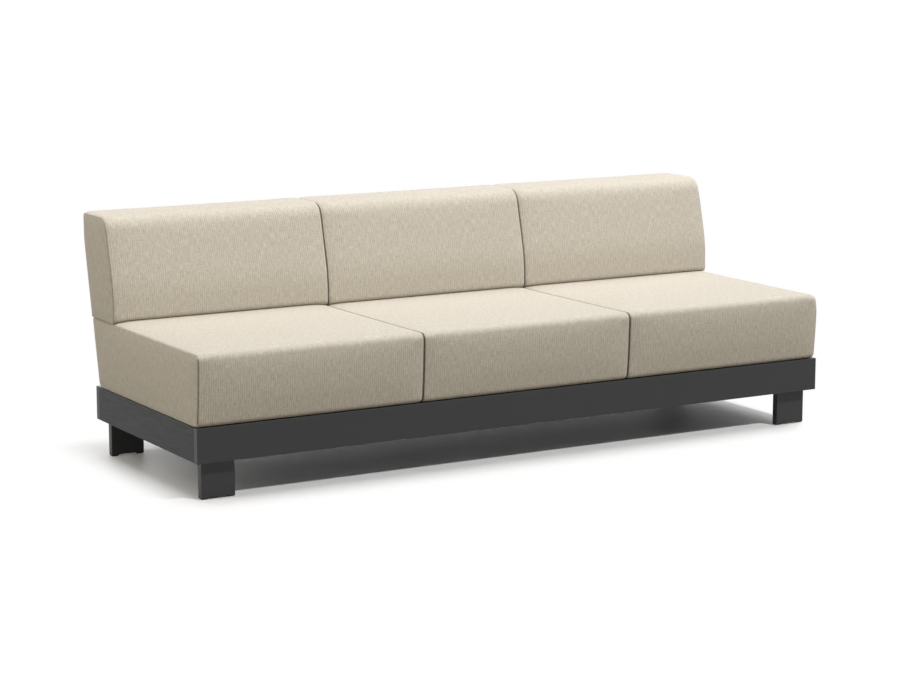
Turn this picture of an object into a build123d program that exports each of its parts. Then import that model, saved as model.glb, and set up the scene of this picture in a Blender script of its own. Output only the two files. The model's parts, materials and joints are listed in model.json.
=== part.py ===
from build123d import *
import os
from math import cos, radians, sin, tan

# An armless three-seat sofa: a polymer board frame on four board legs, and six loose cushions.
# Millimetres. X runs along the sofa, Y from its front to its back, Z up from the floor.
# Pieces are drawn with Y = 0 at the front apron's face, and save() puts the origin on the
# floor under the middle of the whole sofa.

os.makedirs("parts", exist_ok=True)

# Overall
sofa_width = 2140.0  # over the front apron
frame_depth = 718.0  # front apron's face to rear apron's face
deck_top = 209.0  # top of the aprons and of the deck slats
seat_count = 3
row_inset = 3.0  # end apron's outer face to the row of cushions

# Aprons and legs
apron_height = 100.0
apron_thickness = 24.0
board_ease = 1.0  # rounding along every board edge
leg_width = 103.0
leg_thickness = 22.0
foot_width = 22.0  # each side of the relief under a leg
relief_height = 2.0
relief_round = 1.8
glide_thickness = 2.5
glide_margin = 2.0  # leg edge to glide edge
glide_round = 1.0

# Stiffening angles behind the long aprons
stiffener_thickness = 6.0
stiffener_flange = 40.0
stiffener_drop = 5.0  # apron's lower edge up to the stiffener

# Deck
slat_thickness = 22.0
slat_gap = 7.0  # between two deck slats, and between the last ones and the aprons
slat_count = 6
rail_width = 38.0
rail_count = 3
cleat_thickness = 22.0
cleat_height = 40.0
cleat_margin = 22.0  # corner bracket to the cleat's end
board_gap = 0.5  # end play of a board between two others

# Corner brackets
bracket_thickness = 4.0
bracket_height = 60.0
bracket_leg_margin = 5.0  # leg's inner edge to the bracket's
bracket_along_apron = 55.0
bracket_below_deck = 7.0  # slats down to the bracket's top

# Back frame
lean = 12.0  # degrees back from upright
upright_width = 50.0
upright_thickness = 10.0
upright_bend_rise = 6.0  # deck up to the bend
upright_end_inset = 103.0  # end of the sofa to the outer uprights' middle
back_slat_thickness = 16.0
back_slat_width = 76.0
back_slat_gap = 44.0
back_slat_count = 4
back_slat_start = 14.0  # deck up to the lowest slat, along the lean
back_slat_inset = 70.0  # end of the sofa to the slats' ends

# Fasteners
bolt_radius = 4.0
bolt_head_radius = 7.0
bolt_head_height = 4.5
socket_radius = 2.4
socket_depth = 2.2
screw_radius = 2.5
screw_head_radius = 4.8
screw_head_height = 2.8
head_round = 0.6  # rounding over a head's rim, as a share of its height
hole_fit = 0.2  # radial clearance round every shank
thread_grip = 14.0  # how far a screw bites into the last board
back_screw_bite = 12.0  # how far a back screw reaches into its slat
leg_bolt_inset = 25.0  # end apron's inner face to the first column of leg bolts
leg_bolt_pitch = 45.0
bolt_row_pitch = 30.0
bracket_screw_inset = 33.0  # leg to the screws in the end apron
rail_screw_inset = 24.0  # stiffener's web to the screws in its flange
countersink_depth = 3.0
cut_over = 1.0  # how far a cut runs past the face that it opens
screw_pair = (0.25, 0.75)  # places of two screws across a board or along a bay
cleat_screw_shares = (0.08, 0.36, 0.64, 0.92)  # places of the screws along a cleat

# Seat cushions
seat_thickness = 204.0
seat_overhang = 9.0  # front top edge ahead of the apron
seat_foot_setback = 3.0  # front bottom edge behind the apron's face
seat_crown = 7.0  # rise of the top from its sewn edge to its middle
seat_front_crown = 3.0
seat_roll = 90.0  # front edge to where the crown levels out
seat_corner = 14.0
seat_foot_corner = 10.0
crown_least = 1.5  # rise left at the sewn edge

# Back cushions
back_height = 311.0  # above the seat's sewn edge
back_base_depth = 163.5
back_waist_height = 97.0  # seat up to where the front starts to lean
back_waist_step = 3.6
back_front_reach = 54.5  # how far the front leans back from foot to top
back_shoulder_drop = 84.0  # top down to where the rear turns upright
back_shoulder_step = 1.4
back_crown = 4.0
back_front_crown = 4.0
back_corner = 28.0
back_rear_corner = 16.0
back_foot_corner = 9.0
back_heel_corner = 14.0
back_waist_round = 400.0
back_shoulder_round = 150.0
seat_roll_round = 500.0

# Both kinds of cushion
cushion_gap = 1.2  # between neighbouring end panels
end_crown = 6.0  # end panel's bulge past its seam
end_crown_shoulder = 0.7  # share of the bulge that is reached at its border
end_crown_border = 20.0  # seam to where the end panel is mostly out
end_crown_flat = 45.0  # seam to the end panel's level middle
crown_shoulder = 0.8  # share of the wrap's crown that is reached at its border
crown_border = 70.0  # seam to where the wrap panel is mostly crowned
inner_round = 0.25  # least rounding of an inner corner over that of the outer one
rest_gap = 0.4  # a cushion to what it rests on or leans on
cover_thickness = 3.0
core_gap = 0.3

# Zips
zip_length = 620.0
zip_width = 6.4
zip_ridge_width = 3.0
zip_ridge_height = 0.8
zip_gap = 0.3
slider_length = 12.0
slider_width = 8.0
slider_height = 1.2  # over the zip's ridge
slider_end = 4.0  # slider to the end of its zip
slider_round = 2.4
pull_length = 20.0
pull_width = 5.0
pull_thickness = 1.0
pull_round = 1.5

# What follows from them
half_width = sofa_width / 2
pitch = (sofa_width - 2 * row_inset) / seat_count
seat_top = deck_top + seat_thickness
apron_bottom = deck_top - apron_height
slat_bottom = deck_top - slat_thickness
inner_half = half_width - apron_thickness
inner_depth = frame_depth - 2 * apron_thickness
slat_width = (inner_depth - (slat_count + 1) * slat_gap) / slat_count
slat_starts = [apron_thickness + slat_gap + i * (slat_width + slat_gap) for i in range(slat_count)]
frame_middle = frame_depth / 2
leg_front = apron_thickness + stiffener_thickness
leg_rear = leg_front + leg_thickness
stiffener_bottom = apron_bottom + stiffener_drop
flange_top = stiffener_bottom + stiffener_thickness
flange_half = inner_half - leg_width - board_gap
rail_pitch = 2 * inner_half / (rail_count + 1)
rail_places = [(i - (rail_count - 1) / 2) * rail_pitch for i in range(rail_count)]
bracket_along_leg = leg_width - bracket_leg_margin
bracket_top = slat_bottom - bracket_below_deck
bracket_bottom = bracket_top - bracket_height
bolt_rows = [bracket_bottom + bracket_height / 2 + side * bolt_row_pitch / 2 for side in (-1, 1)]
slope = tan(radians(lean))
bend_height = deck_top + upright_bend_rise
slat_face_y = frame_depth - upright_bend_rise * slope - back_slat_thickness / cos(radians(lean))
back_slat_pitch = back_slat_width + back_slat_gap
back_slat_rows = [back_slat_start + i * back_slat_pitch for i in range(back_slat_count)]
upright_top = deck_top + (back_slat_rows[-1] + back_slat_width - board_ease) * cos(radians(lean))
upright_depth = upright_thickness / cos(radians(lean))
upright_reach = (upright_top - bend_height) * slope
zip_in_seat = back_slat_start + back_slat_width + back_slat_gap / 2
zip_in_back = zip_in_seat + 2 * back_slat_pitch
upright_places = [
    -half_width + upright_end_inset,
    *[(i + 1 - seat_count / 2) * pitch for i in range(seat_count - 1)],
    half_width - upright_end_inset,
]
inner_names = ["middle"] if seat_count == 3 else [f"middle_{i}" for i in range(1, seat_count - 1)]
seat_names = ["left", *inner_names, "right"][:seat_count]
front_most = -seat_overhang - seat_front_crown
rear_most = frame_depth + upright_reach + upright_depth
origin_y = (front_most + rear_most) / 2
back_top = seat_top + back_height

# Plane of the back slats' front faces: x along the sofa, y up the lean, z forwards.
lean_plane = Plane(
    origin=(0, slat_face_y, deck_top),
    x_dir=(1, 0, 0),
    z_dir=(0, -cos(radians(lean)), sin(radians(lean))),
)


def rear_line(height, inset=0.0):
    """Y of the plane that the cushions lean on, at a height, less an inset square to it."""
    back_off = (rest_gap + inset) / cos(radians(lean))
    return slat_face_y - back_off + (height - deck_top) * slope


def save(node, shape):
    """Writes one sub-part, moved so that the origin is under the sofa's middle."""
    export_step(Pos(0, -origin_y, 0) * shape, f"parts/{node}.step")


def group(solids):
    """Separate solids that share one node."""
    return Compound(children=list(solids))


def board(low, size, ease=board_ease):
    """A board from its low corner and its size, with its edges eased."""
    block = Pos(*low) * Box(*size, align=(Align.MIN, Align.MIN, Align.MIN))
    return fillet(block.edges(), ease) if ease else block


def mirrored(shape, side, end):
    """A front right piece carried to the given side (-1 left) and end (-1 front, 1 rear)."""
    if side < 0:
        shape = mirror(shape, about=Plane.YZ)
    if end > 0:
        shape = mirror(shape, about=Plane.XZ.offset(-frame_middle))
    return shape


# Fasteners are drawn with the head's underside at z = 0 and the shank down -Z.


def bolt(length):
    """Button-head bolt."""
    shank = Cylinder(bolt_radius, length, align=(Align.CENTER, Align.CENTER, Align.MAX))
    head = Cylinder(bolt_head_radius, bolt_head_height, align=(Align.CENTER, Align.CENTER, Align.MIN))
    head = fillet(head.edges().group_by(Axis.Z)[-1], bolt_head_height * head_round)
    socket = Pos(0, 0, bolt_head_height) * extrude(RegularPolygon(socket_radius, 6), -socket_depth)
    return shank + head - socket


def screw(length):
    """Pan-head screw."""
    shank = Cylinder(screw_radius, length, align=(Align.CENTER, Align.CENTER, Align.MAX))
    head = Cylinder(screw_head_radius, screw_head_height, align=(Align.CENTER, Align.CENTER, Align.MIN))
    return shank + fillet(head.edges().group_by(Axis.Z)[-1], screw_head_height * head_round)


def countersunk(length):
    """Flat-head screw whose top is at z = 0."""
    shank = Cylinder(screw_radius, length, align=(Align.CENTER, Align.CENTER, Align.MAX))
    head = Cone(
        screw_radius,
        screw_radius + countersink_depth,
        countersink_depth,
        align=(Align.CENTER, Align.CENTER, Align.MAX),
    )
    return shank + head


def bore(radius, length):
    """The hole for a shank of the given radius and length, open at the head."""
    return Pos(0, 0, cut_over) * Cylinder(
        radius + hole_fit, length + cut_over + hole_fit, align=(Align.CENTER, Align.CENTER, Align.MAX)
    )


def countersunk_bore(length):
    """The hole for a flat-head screw."""
    mouth = Pos(0, 0, hole_fit) * Cone(
        screw_radius + hole_fit,
        screw_radius + hole_fit * 2 + countersink_depth,
        countersink_depth + hole_fit,
        align=(Align.CENTER, Align.CENTER, Align.MAX),
    )
    return mouth + bore(screw_radius, length)


def facing(direction):
    """Turns a fastener so that its head looks along the given direction."""
    return Plane(origin=(0, 0, 0), z_dir=direction).location


def copies(places, shape):
    """The shape at each of the places."""
    return [place * shape for place in places]


def at_corners(shapes):
    """Front right pieces repeated at all four corners of the frame."""
    return [mirrored(shape, side, end) for shape in shapes for side in (-1, 1) for end in (-1, 1)]


def front_and_rear(shapes):
    """Front pieces repeated at the rear."""
    return [mirrored(shape, 1, end) for shape in shapes for end in (-1, 1)]


def left_and_right(shapes):
    """Right pieces repeated on the left."""
    return [mirrored(shape, side, -1) for shape in shapes for side in (-1, 1)]


# Fastener places: each is the head's seat, turned so that the head looks outwards.

leg_bolt_length = bracket_thickness + leg_thickness + stiffener_thickness - board_gap
leg_bolt_places = [
    Pos(inner_half - leg_bolt_inset - column * leg_bolt_pitch, leg_rear + bracket_thickness, height)
    * facing((0, 1, 0))
    for column in (0, 1)
    for height in bolt_rows
]
leg_bolts = at_corners(copies(leg_bolt_places, bolt(leg_bolt_length)))
leg_bores = at_corners(copies(leg_bolt_places, bore(bolt_radius, leg_bolt_length)))

upright_bolt_length = upright_thickness + apron_thickness + stiffener_thickness - board_gap
upright_bolt_places = [
    Pos(x, frame_depth + upright_thickness, height) * facing((0, 1, 0))
    for x in upright_places
    for height in bolt_rows
]
upright_bolts = copies(upright_bolt_places, bolt(upright_bolt_length))
upright_bores = copies(upright_bolt_places, bore(bolt_radius, upright_bolt_length))

bracket_screw_length = bracket_thickness + thread_grip
bracket_screw_places = [
    Pos(inner_half - bracket_thickness, leg_rear + bracket_screw_inset, height) * facing((-1, 0, 0))
    for height in bolt_rows
]
bracket_screws = at_corners(copies(bracket_screw_places, screw(bracket_screw_length)))
bracket_bores = at_corners(copies(bracket_screw_places, bore(screw_radius, bracket_screw_length)))

apron_screw_length = stiffener_thickness + thread_grip
apron_screw_places = [
    Pos(side * (bay + part) * rail_pitch, leg_front, bolt_rows[0]) * facing((0, 1, 0))
    for side in (-1, 1)
    for bay in range((rail_count + 1) // 2)
    for part in screw_pair
]
apron_screws = front_and_rear(copies(apron_screw_places, screw(apron_screw_length)))
apron_bores = front_and_rear(copies(apron_screw_places, bore(screw_radius, apron_screw_length)))

rail_screw_places = [
    Pos(x, leg_front + rail_screw_inset, stiffener_bottom) * facing((0, 0, -1))
    for x in rail_places
]
rail_screws = front_and_rear(copies(rail_screw_places, screw(apron_screw_length)))
rail_bores = front_and_rear(copies(rail_screw_places, bore(screw_radius, apron_screw_length)))

cleat_start = leg_rear + bracket_along_apron + cleat_margin
cleat_length = frame_depth - 2 * cleat_start
cleat_screw_length = cleat_thickness + thread_grip
cleat_screw_places = [
    Pos(inner_half - cleat_thickness, cleat_start + cleat_length * share, slat_bottom - cleat_height / 2)
    * facing((-1, 0, 0))
    for share in cleat_screw_shares
]
cleat_screws = left_and_right(copies(cleat_screw_places, screw(cleat_screw_length)))
cleat_bores = left_and_right(copies(cleat_screw_places, bore(screw_radius, cleat_screw_length)))

deck_screw_length = slat_thickness + thread_grip
deck_screw_places = [
    Pos(x, start + slat_width * share, deck_top)
    for x in rail_places
    for start in slat_starts
    for share in screw_pair
] + [
    Pos(side * (inner_half - cleat_thickness / 2), start + slat_width / 2, deck_top)
    for side in (-1, 1)
    for start in slat_starts
    if cleat_start < start + slat_width / 2 < cleat_start + cleat_length
]
deck_screws = copies(deck_screw_places, countersunk(deck_screw_length))
deck_bores = copies(deck_screw_places, countersunk_bore(deck_screw_length))

back_screw_length = upright_thickness + back_screw_bite
back_screw_places = [
    lean_plane.location
    * Pos(x, row + back_slat_width * share, -back_slat_thickness - upright_thickness)
    * facing((0, 0, -1))
    for x in upright_places
    for row in back_slat_rows
    for share in screw_pair
]
back_screws = copies(back_screw_places, screw(back_screw_length))
back_bores = copies(back_screw_places, bore(screw_radius, back_screw_length))


# Frame


def long_apron(end):
    """The front (-1) or rear (1) apron, which covers the ends of the side aprons."""
    blank = board((-half_width, 0, apron_bottom), (sofa_width, apron_thickness, apron_height))
    return mirrored(blank, 1, end) - apron_bores - upright_bores


def side_apron(side):
    """The left (-1) or right (1) apron, between the long aprons."""
    blank = board(
        (inner_half, apron_thickness + board_gap / 2, apron_bottom),
        (apron_thickness, inner_depth - board_gap, apron_height),
    )
    return mirrored(blank, side, -1) - bracket_bores - cleat_bores


def stiffener(end):
    """Angle behind a long apron; its flange runs between the legs and carries the cross rails."""
    web = board(
        (-inner_half + board_gap, apron_thickness, stiffener_bottom),
        (2 * (inner_half - board_gap), stiffener_thickness, slat_bottom - stiffener_bottom),
        0,
    )
    flange = board(
        (-flange_half, leg_front, stiffener_bottom),
        (2 * flange_half, stiffener_flange, stiffener_thickness),
        0,
    )
    angle = mirrored(web + flange, 1, end)
    return angle - leg_bores - apron_bores - rail_bores - upright_bores


def cross_rail(x):
    """Rail from front to rear that stands on the stiffeners' flanges."""
    blank = board(
        (x - rail_width / 2, leg_front + board_gap, flange_top),
        (rail_width, frame_depth - 2 * (leg_front + board_gap), slat_bottom - flange_top),
    )
    return blank - rail_bores - deck_bores


def cleat(side):
    """Strip inside an end apron that carries the ends of the deck slats."""
    blank = board(
        (inner_half - cleat_thickness, cleat_start, slat_bottom - cleat_height),
        (cleat_thickness, cleat_length, cleat_height),
    )
    return mirrored(blank, side, -1) - cleat_bores - deck_bores


def deck_slat(start):
    """Deck board along the sofa."""
    blank = board(
        (-inner_half + board_gap, start, slat_bottom),
        (2 * (inner_half - board_gap), slat_width, slat_thickness),
    )
    return blank - deck_bores


def leg(side, end):
    """Board leg with two feet and a shallow round-ended relief between them."""
    blank = board(
        (inner_half - leg_width, leg_front, glide_thickness),
        (leg_width, leg_thickness, slat_bottom - glide_thickness),
    )
    span = leg_width - 2 * foot_width
    relief = Pos(inner_half - leg_width / 2, (leg_front + leg_rear) / 2, glide_thickness) * Box(
        span, leg_thickness + 2 * cut_over, 2 * relief_height
    )
    relief = fillet(relief.edges().filter_by(Axis.Y), relief_round)
    return mirrored(blank - relief, side, end) - leg_bores


def glides():
    """A pad under each foot of each leg."""
    length = foot_width - 2 * glide_margin
    width = leg_thickness - 2 * glide_margin
    starts = (inner_half - leg_width + glide_margin, inner_half - glide_margin - length)
    pad = Box(length, width, glide_thickness, align=(Align.MIN, Align.MIN, Align.MIN))
    pad = fillet(pad.edges().filter_by(Axis.Z), glide_round)
    return group(at_corners([Pos(x, leg_front + glide_margin, 0) * pad for x in starts]))


def corner_brackets():
    """Angles that tie the legs to the end aprons."""
    along_leg = board(
        (inner_half - bracket_along_leg, leg_rear, bracket_bottom),
        (bracket_along_leg, bracket_thickness, bracket_height),
        0,
    )
    along_apron = board(
        (inner_half - bracket_thickness, leg_rear, bracket_bottom),
        (bracket_thickness, bracket_along_apron, bracket_height),
        0,
    )
    return group(shape - leg_bores - bracket_bores for shape in at_corners([along_leg + along_apron]))


# Back frame


def back_upright(x):
    """Flat bar bolted behind the rear apron and bent back to the lean."""
    foot = bolt_rows[0] - bolt_row_pitch / 2
    rear_bend = bend_height - upright_thickness * tan(radians(lean) / 2)
    profile = Polyline(
        (frame_depth, foot),
        (frame_depth, bend_height),
        (frame_depth + upright_reach, upright_top),
        (frame_depth + upright_reach + upright_depth, upright_top),
        (frame_depth + upright_thickness, rear_bend),
        (frame_depth + upright_thickness, foot),
        close=True,
    )
    bar = extrude(Plane.YZ.offset(x - upright_width / 2) * make_face(profile), upright_width)
    return bar - upright_bores - back_bores


def back_slat(row):
    """Board along the back, screwed to the uprights' front faces."""
    half_length = half_width - back_slat_inset
    blank = board(
        (-half_length, row, -back_slat_thickness),
        (2 * half_length, back_slat_width, back_slat_thickness),
    )
    return lean_plane.location * blank - back_bores


# Cushions


def outline(x, corners, inset):
    """A closed outline across the sofa at x, from its corners and their rounding."""
    points = [(y, z) for y, z, _ in corners]
    radii = [max(radius - inset, radius * inner_round) for _, _, radius in corners]
    return Plane.YZ.offset(x) * make_face(FilletPolyline(*points, radius=radii, close=True))


def seat_corners(crown, inset):
    """Corners of a seat cushion's outline where its crown has the given share of its height."""
    low = deck_top + rest_gap + inset
    rise = crown_least + (seat_crown - crown_least) * crown
    front = -seat_overhang - seat_front_crown * crown + inset
    foot = seat_foot_setback - seat_front_crown * crown + inset
    edge = seat_top - inset
    level = edge + rise
    return [
        (foot, low, seat_foot_corner),
        (front, edge, seat_corner),
        (front + seat_roll, level, seat_roll_round),
        (rear_line(level, inset), level, seat_corner),
        (rear_line(low, inset), low, seat_foot_corner),
    ]


def back_corners(crown, inset):
    """Corners of a back cushion's outline where its crown has the given share of its height."""
    low = seat_top + rest_gap + crown_least + (seat_crown - crown_least) * crown + inset
    top = back_top + back_crown * crown - inset
    shoulder = back_top - back_shoulder_drop
    foot = rear_line(seat_top) - back_base_depth - back_front_crown * crown + inset
    waist = seat_top + back_waist_height
    return [
        (foot, low, back_foot_corner),
        (foot + back_waist_step, waist, back_waist_round),
        (foot + back_front_reach, top, back_corner),
        (rear_line(shoulder, inset) + back_shoulder_step, top, back_rear_corner),
        (rear_line(shoulder, inset), shoulder, back_shoulder_round),
        (rear_line(low, inset), low, back_heel_corner),
    ]


def cushion(corners, inset=0.0):
    """A crowned cushion: a lofted wrap between its seams, and a bulged panel at each end."""
    reach = (pitch - cushion_gap) / 2 - inset
    seam = reach - end_crown
    stations = [
        (-seam, 0.0),
        (crown_border - seam, crown_shoulder),
        (0.0, 1.0),
        (seam - crown_border, crown_shoulder),
        (seam, 0.0),
    ]
    wrap = loft([outline(x, corners(crown, inset), inset) for x, crown in stations])
    panels = []
    for side in (-1, 1):
        steps = [
            (0.0, 0.0),
            (end_crown * end_crown_shoulder, end_crown_border),
            (end_crown, end_crown_flat),
        ]
        sections = [
            outline(side * (seam + out), corners(0.0, inset + border), inset + border)
            for out, border in steps
        ]
        panels.append(loft(sections))
    return wrap + panels[0] + panels[1]


def zip_slot(row):
    """The slot through a cover's rear wall that its zip closes."""
    length = zip_length + 2 * zip_gap
    width = zip_width + 2 * zip_gap
    depth = cover_thickness + rest_gap + core_gap / 2
    return lean_plane.location * Pos(0, row, 0) * Box(
        length, width, depth, align=(Align.CENTER, Align.CENTER, Align.MIN)
    )


def zip_chain(row):
    """Closed zip, flush with the cover's rear but for the ridge of its teeth."""
    tape = Box(zip_length, zip_width, cover_thickness, align=(Align.CENTER, Align.CENTER, Align.MIN))
    ridge = Box(
        zip_length, zip_ridge_width, zip_ridge_height, align=(Align.CENTER, Align.CENTER, Align.MAX)
    )
    return lean_plane.location * Pos(0, row, rest_gap) * (tape + ridge)


def zip_slider(row):
    """Slider astride the ridge at the right end, with its pull lying along the zip."""
    middle = (zip_length - slider_length) / 2 - slider_end
    height = zip_ridge_height + slider_height
    body = Box(slider_length, slider_width, height, align=(Align.CENTER, Align.CENTER, Align.MAX))
    body = fillet(body.edges().filter_by(Axis.Z), slider_round)
    groove = Box(
        slider_length,
        zip_ridge_width + 2 * zip_gap,
        zip_ridge_height,
        align=(Align.CENTER, Align.CENTER, Align.MAX),
    )
    pull = Pos(0, 0, -height) * Box(
        pull_length, pull_width, pull_thickness, align=(Align.MAX, Align.CENTER, Align.MAX)
    )
    pull = fillet(pull.edges().filter_by(Axis.Z), pull_round)
    return lean_plane.location * Pos(middle, row, rest_gap - zip_gap) * (body - groove + pull)


def cushion_pieces(corners, zip_row):
    """The cover, core, zip and slider of one cushion in the middle of the sofa."""
    hollow = cushion(corners, cover_thickness)
    return {
        "cover": cushion(corners) - hollow - zip_slot(zip_row),
        "core": cushion(corners, cover_thickness + core_gap),
        "zip": zip_chain(zip_row),
        "slider": zip_slider(zip_row),
    }


# Every sub-part

for side, name in ((-1, "front"), (1, "rear")):
    save(f"{name}_apron", long_apron(side))
    save(f"{name}_stiffener", stiffener(side))

for side, name in ((-1, "left"), (1, "right")):
    save(f"{name}_apron", side_apron(side))
    save(f"{name}_cleat", cleat(side))
    save(f"leg_front_{name}", leg(side, -1))
    save(f"leg_rear_{name}", leg(side, 1))

save("glides", glides())
save("corner_brackets", corner_brackets())

for number, place in enumerate(rail_places, 1):
    save(f"cross_rail_{number}", cross_rail(place))

for number, start in enumerate(slat_starts, 1):
    save(f"deck_slat_{number}", deck_slat(start))

for number, place in enumerate(upright_places, 1):
    save(f"back_upright_{number}", back_upright(place))

for number, row in enumerate(back_slat_rows, 1):
    save(f"back_slat_{number}", back_slat(row))

save("leg_bolts", group(leg_bolts))
save("upright_bolts", group(upright_bolts))
save("frame_screws", group(bracket_screws + apron_screws + rail_screws + cleat_screws))
save("deck_screws", group(deck_screws))
save("back_screws", group(back_screws))

for kind, corners, zip_row in (("seat", seat_corners, zip_in_seat), ("back", back_corners, zip_in_back)):
    for piece, shape in cushion_pieces(corners, zip_row).items():
        for number, name in enumerate(seat_names):
            middle = (number - (seat_count - 1) / 2) * pitch
            save(f"{kind}_{piece}_{name}", Pos(middle, 0, 0) * shape)
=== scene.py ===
"""A low armless sofa: loose woven cushions on a charcoal board frame, in a plain pale studio."""

import json
import logging
import math
from dataclasses import dataclass
from enum import Enum

import bmesh
import bpy
import numpy as np
from bpy.types import Material, Mesh, Node, NodeSocket, NodeTree, Object
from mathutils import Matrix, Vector


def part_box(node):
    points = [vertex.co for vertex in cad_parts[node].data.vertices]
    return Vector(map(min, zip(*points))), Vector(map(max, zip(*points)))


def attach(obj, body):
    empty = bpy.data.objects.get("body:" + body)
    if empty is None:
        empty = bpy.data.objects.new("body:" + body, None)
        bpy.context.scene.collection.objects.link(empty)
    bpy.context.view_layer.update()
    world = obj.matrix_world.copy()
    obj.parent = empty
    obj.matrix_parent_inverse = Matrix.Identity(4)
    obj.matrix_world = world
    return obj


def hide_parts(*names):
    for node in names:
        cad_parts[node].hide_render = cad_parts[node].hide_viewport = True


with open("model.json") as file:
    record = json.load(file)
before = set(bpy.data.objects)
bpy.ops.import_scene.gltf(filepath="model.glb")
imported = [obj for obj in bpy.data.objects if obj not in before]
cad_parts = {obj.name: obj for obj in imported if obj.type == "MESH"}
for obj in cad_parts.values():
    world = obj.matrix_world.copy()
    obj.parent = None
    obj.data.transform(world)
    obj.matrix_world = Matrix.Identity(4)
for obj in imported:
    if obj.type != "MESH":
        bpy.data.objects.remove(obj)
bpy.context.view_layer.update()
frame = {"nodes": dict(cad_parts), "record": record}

log = logging.getLogger("sofa")

MM = 0.001

Array = np.ndarray
Pair = tuple[float, float]
Triple = tuple[float, float, float]
Colour = Triple


# Node helpers


@dataclass
class Nodes:
    """A node tree with short calls for adding and linking nodes."""

    tree: NodeTree

    def add(self, kind: str, inputs: dict[str | int, object] | None = None, **settings: object) -> Node:
        """Adds a node.

        Args:
            kind: the node's type name.
            inputs: what goes into its inputs.
            settings: attributes to set on it first.

        Returns:
            The new node.
        """
        node = self.tree.nodes.new(kind)
        for name, value in settings.items():
            setattr(node, name, value)
        self.put(node, inputs or {})
        return node

    def put(self, node: Node, inputs: dict[str | int, object]) -> None:
        """Links output sockets to a node's inputs, or sets the inputs' own values.

        Args:
            node: the node that receives them.
            inputs: an output socket, a number or a vector, by the input's name or number.
        """
        for socket, value in inputs.items():
            if isinstance(value, NodeSocket):
                self.tree.links.new(value, node.inputs[socket])
            else:
                node.inputs[socket].default_value = value

    def maths(self, operation: str, first: object, second: object = 0.0, clamp: bool = False) -> object:
        """A Math node of two values.

        Args:
            operation: the node's operation.
            first, second: the values or their sockets.
            clamp: whether the result is held between 0 and 1.

        Returns:
            The result's socket.
        """
        node = self.add("ShaderNodeMath", {0: first, 1: second}, operation=operation, use_clamp=clamp)
        return node.outputs[0]

    def weighted(self, parts: tuple[object, ...], shares: tuple[float, ...]) -> object:
        """The sum of several values, each times its share."""
        whole = 0.0
        for part, share in zip(parts, shares):
            whole = self.maths("ADD", whole, self.maths("MULTIPLY", part, share))
        return whole

    def vectors(self, operation: str, first: object, second: object = (0.0, 0.0, 0.0)) -> object:
        """A Vector Math node of two vectors, and the socket of the vector that it gives."""
        return self.add("ShaderNodeVectorMath", {0: first, 1: second}, operation=operation).outputs[0]

    def scaled(self, vector: object, factor: object) -> object:
        """A vector or a colour times a number."""
        return self.add("ShaderNodeVectorMath", {0: vector, "Scale": factor}, operation="SCALE").outputs[0]

    def noise(self, vector: object, scale: float, detail: float = 2.0, roughness: float = 0.5) -> object:
        """A noise texture's value.

        Args:
            vector: where it is read.
            scale: its frequency.
            detail: its number of octaves.
            roughness: the weight of the finer octaves.

        Returns:
            The value's socket.
        """
        inputs = {"Vector": vector, "Scale": scale, "Detail": detail, "Roughness": roughness}
        return self.add("ShaderNodeTexNoise", inputs).outputs["Fac"]

    def ramp(
        self, value: object, low: float, high: float, out_low: float = 0.0, out_high: float = 1.0
    ) -> object:
        """Maps a range of values to another, smoothly, and holds it there.

        Args:
            value: the value's socket.
            low, high: the values that give the lowest and the highest result.
            out_low, out_high: the lowest and the highest result.

        Returns:
            The result's socket.
        """
        inputs = {"Value": value, "From Min": low, "From Max": high, "To Min": out_low, "To Max": out_high}
        return self.add("ShaderNodeMapRange", inputs, interpolation_type="SMOOTHSTEP").outputs["Result"]

    def mix(self, factor: object, first: Colour, second: Colour) -> object:
        """Mixes two colours, taking as much of the second as the factor says."""
        inputs = {0: factor, 6: (*first, 1.0), 7: (*second, 1.0)}
        return self.add("ShaderNodeMix", inputs, data_type="RGBA").outputs[2]

    def bump(self, shader: Node, height: object, distance: float, strength: float) -> None:
        """Lets a height bend a shader's normals, where a height of 1 stands for the distance in metres."""
        bent = self.add("ShaderNodeBump", {"Strength": strength, "Distance": distance, "Height": height})
        self.put(shader, {"Normal": bent.outputs[0]})


def new_group(
    name: str, inputs: dict[str, float | None], outputs: tuple[str, ...]
) -> tuple[Nodes, Node, Node]:
    """An empty node group with its inputs and outputs.

    Args:
        name: the group's name.
        inputs: each input's name and default, or None for a vector.
        outputs: the outputs' names. Each gives a number.

    Returns:
        The wrapped tree, the node that gives the inputs and the node that takes the outputs.
    """
    tree = bpy.data.node_groups.new(name, "ShaderNodeTree")
    for label, default in inputs.items():
        kind = "NodeSocketVector" if default is None else "NodeSocketFloat"
        socket = tree.interface.new_socket(label, in_out="INPUT", socket_type=kind)
        if default is not None:
            socket.default_value = default
    for label in outputs:
        tree.interface.new_socket(label, in_out="OUTPUT", socket_type="NodeSocketFloat")
    n = Nodes(tree)
    return n, n.add("NodeGroupInput"), n.add("NodeGroupOutput")


# How many times in a metre the yarns wander, and how far.
WANDERS_PER_METRE = 60.0
WANDER = 1.2 * MM


class Mark(Enum):
    """Noise in the cloth: its frequency across the warp and along it, its octaves and their weight."""

    RIBS = (90.0, 40.0, 1.0, 0.5)
    WARP_SLUBS = (760.0, 70.0, 3.0, 0.6)
    WEFT_SLUBS = (70.0, 760.0, 3.0, 0.6)
    WARP_BANDS = (280.0, 44.0, 2.0, 0.6)
    WEFT_BANDS = (50.0, 300.0, 2.0, 0.6)


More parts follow.
